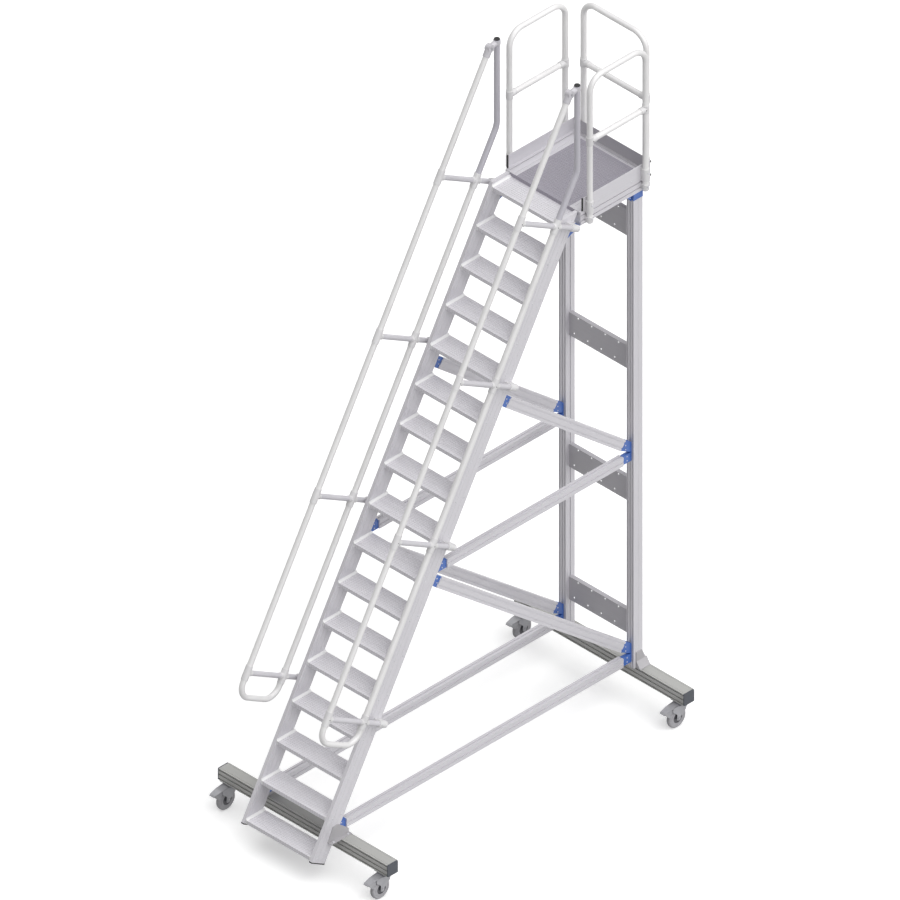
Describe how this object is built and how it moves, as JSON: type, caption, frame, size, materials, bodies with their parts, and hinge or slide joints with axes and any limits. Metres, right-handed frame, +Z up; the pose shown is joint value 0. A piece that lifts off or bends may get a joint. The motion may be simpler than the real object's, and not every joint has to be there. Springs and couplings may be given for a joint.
{
  "type": "mobile platform stairs",
  "caption": "Steep aluminium flight of steps up to a guarded work platform, on two cross beams with braked swivel casters; wheels roll and casters swivel.",
  "frame": {"origin": "on the floor, under the middle of the machine's bounding box", "axes": "+X to the climber's right, +Y in the climbing direction, +Z up"},
  "size_m": [1.516, 3.0449, 5.069],
  "materials": {
    "rail_tube": "satin anodised tube",
    "rail_fitting": "cast satin",
    "profile": "satin extrusion",
    "tread": "ribbed extrusion",
    "deck": "ribbed",
    "cross_plate": "satin sheet",
    "beam": "mill finish extrusion",
    "beam_cap": "moulded",
    "shoe": "powder coated",
    "black_plastic": "moulded",
    "caster_steel": "zinc plated",
    "pedal": "zinc plated",
    "hub": "moulded",
    "wheel_tread": "grey non-marking"
  },
  "bodies": {
    "stairs": {"chassis_beam_front": "beam", "chassis_beam_rear": "beam", "beam_end_caps": "beam_cap", "stringer_left": "profile", "stringer_right": "profile", "stringer_foot_caps": "black_plastic", "treads": "tread", "platform_side_left": "profile", "platform_side_right": "profile", "platform_cross_beams": "profile", "platform_deck": "deck", "toe_board_left": "profile", "toe_board_right": "profile", "toe_board_rear": "profile", "guard_left": "rail_tube", "guard_right": "rail_tube", "guard_rear": "rail_tube", "guard_mid_rails": "rail_tube", "guard_fittings": "rail_fitting", "guard_clamps": "rail_fitting", "rear_post_left": "profile", "rear_post_right": "profile", "cross_plates": "cross_plate", "level_braces": "profile", "diagonal_braces": "profile", "end_shoes": "shoe", "platform_shoes": "shoe", "foot_brackets": "beam", "rail_arms": "rail_tube", "rail_fittings": "rail_fitting", "arm_feet": "rail_fitting", "rail_elbows": "rail_fitting", "rail_caps": "black_plastic", "handrail_left": "rail_tube", "handrail_right": "rail_tube", "knee_rail_left": "rail_tube", "knee_rail_right": "rail_tube", "caster_top_plates": "caster_steel"},
    "caster_front_left": {"caster_fork_front_left": "caster_steel", "caster_axle_front_left": "caster_steel", "brake_pedal_front_left": "pedal"},
    "wheel_front_left": {"wheel_hub_front_left": "hub", "wheel_tyre_front_left": "wheel_tread"},
    "caster_front_right": {"caster_fork_front_right": "caster_steel", "caster_axle_front_right": "caster_steel", "brake_pedal_front_right": "pedal"},
    "wheel_front_right": {"wheel_hub_front_right": "hub", "wheel_tyre_front_right": "wheel_tread"},
    "caster_rear_left": {"caster_fork_rear_left": "caster_steel", "caster_axle_rear_left": "caster_steel", "brake_pedal_rear_left": "pedal"},
    "wheel_rear_left": {"wheel_hub_rear_left": "hub", "wheel_tyre_rear_left": "wheel_tread"},
    "caster_rear_right": {"caster_fork_rear_right": "caster_steel", "caster_axle_rear_right": "caster_steel", "brake_pedal_rear_right": "pedal"},
    "wheel_rear_right": {"wheel_hub_rear_right": "hub", "wheel_tyre_rear_right": "wheel_tread"}
  },
  "joints": [
    {"name": "swivel_front_left", "type": "hinge", "parent": "stairs", "child": "caster_front_left", "pos_m": [-0.687, -1.2395, 0.173], "axis": [0, 0, 1], "continuous": true},
    {"name": "roll_front_left", "type": "hinge", "parent": "caster_front_left", "child": "wheel_front_left", "pos_m": [-0.687, -1.2865, 0.075], "axis": [1, 0, 0], "continuous": true},
    {"name": "swivel_front_right", "type": "hinge", "parent": "stairs", "child": "caster_front_right", "pos_m": [0.687, -1.2395, 0.173], "axis": [0, 0, 1], "continuous": true},
    {"name": "roll_front_right", "type": "hinge", "parent": "caster_front_right", "child": "wheel_front_right", "pos_m": [0.687, -1.2865, 0.075], "axis": [1, 0, 0], "continuous": true},
    {"name": "swivel_rear_left", "type": "hinge", "parent": "stairs", "child": "caster_rear_left", "pos_m": [-0.687, 1.4015, 0.173], "axis": [0, 0, 1], "continuous": true},
    {"name": "roll_rear_left", "type": "hinge", "parent": "caster_rear_left", "child": "wheel_rear_left", "pos_m": [-0.687, 1.3545, 0.075], "axis": [1, 0, 0], "continuous": true},
    {"name": "swivel_rear_right", "type": "hinge", "parent": "stairs", "child": "caster_rear_right", "pos_m": [0.687, 1.4015, 0.173], "axis": [0, 0, 1], "continuous": true},
    {"name": "roll_rear_right", "type": "hinge", "parent": "caster_rear_right", "child": "wheel_rear_right", "pos_m": [0.687, 1.3545, 0.075], "axis": [1, 0, 0], "continuous": true}
  ]
}
